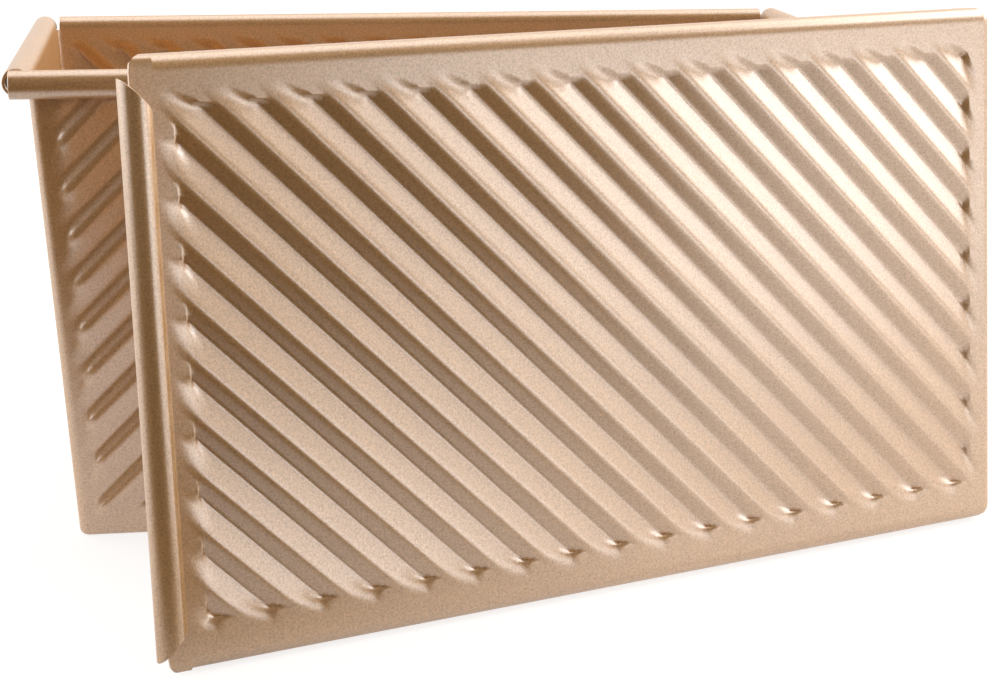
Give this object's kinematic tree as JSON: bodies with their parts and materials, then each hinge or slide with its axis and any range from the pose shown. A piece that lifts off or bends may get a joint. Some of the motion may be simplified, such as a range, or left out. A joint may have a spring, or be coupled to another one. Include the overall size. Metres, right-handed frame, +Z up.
{
  "type": "lidded loaf pan",
  "caption": "Tapered rectangular bread pan of diagonally corrugated sheet steel with rolled wired rims, and a corrugated lid whose folded rails slide along the long rims",
  "frame": {"origin": "middle of the pan's flat base, on the surface that it stands on", "axes": "+X along the pan's long side to the right in the picture, +Y from the front towards the back, +Z up out of the pan's mouth"},
  "size_m": [0.2319, 0.2005, 0.1236],
  "materials": {
    "coated_steel": "champagne gold metallic non-stick coating, satin",
    "wire_steel": "plain drawn steel wire"
  },
  "bodies": {
    "pan": {"pan_shell": "coated_steel", "rim_wire_front": "wire_steel", "rim_wire_back": "wire_steel", "rim_wire_left": "wire_steel", "rim_wire_right": "wire_steel"},
    "lid": {"lid": "coated_steel"}
  },
  "joints": [
    {"name": "lid_slide", "type": "slide", "parent": "pan", "child": "lid", "axis": [0.9432, 0.3322, 0], "range_m": [0, 0.2127]}
  ]
}
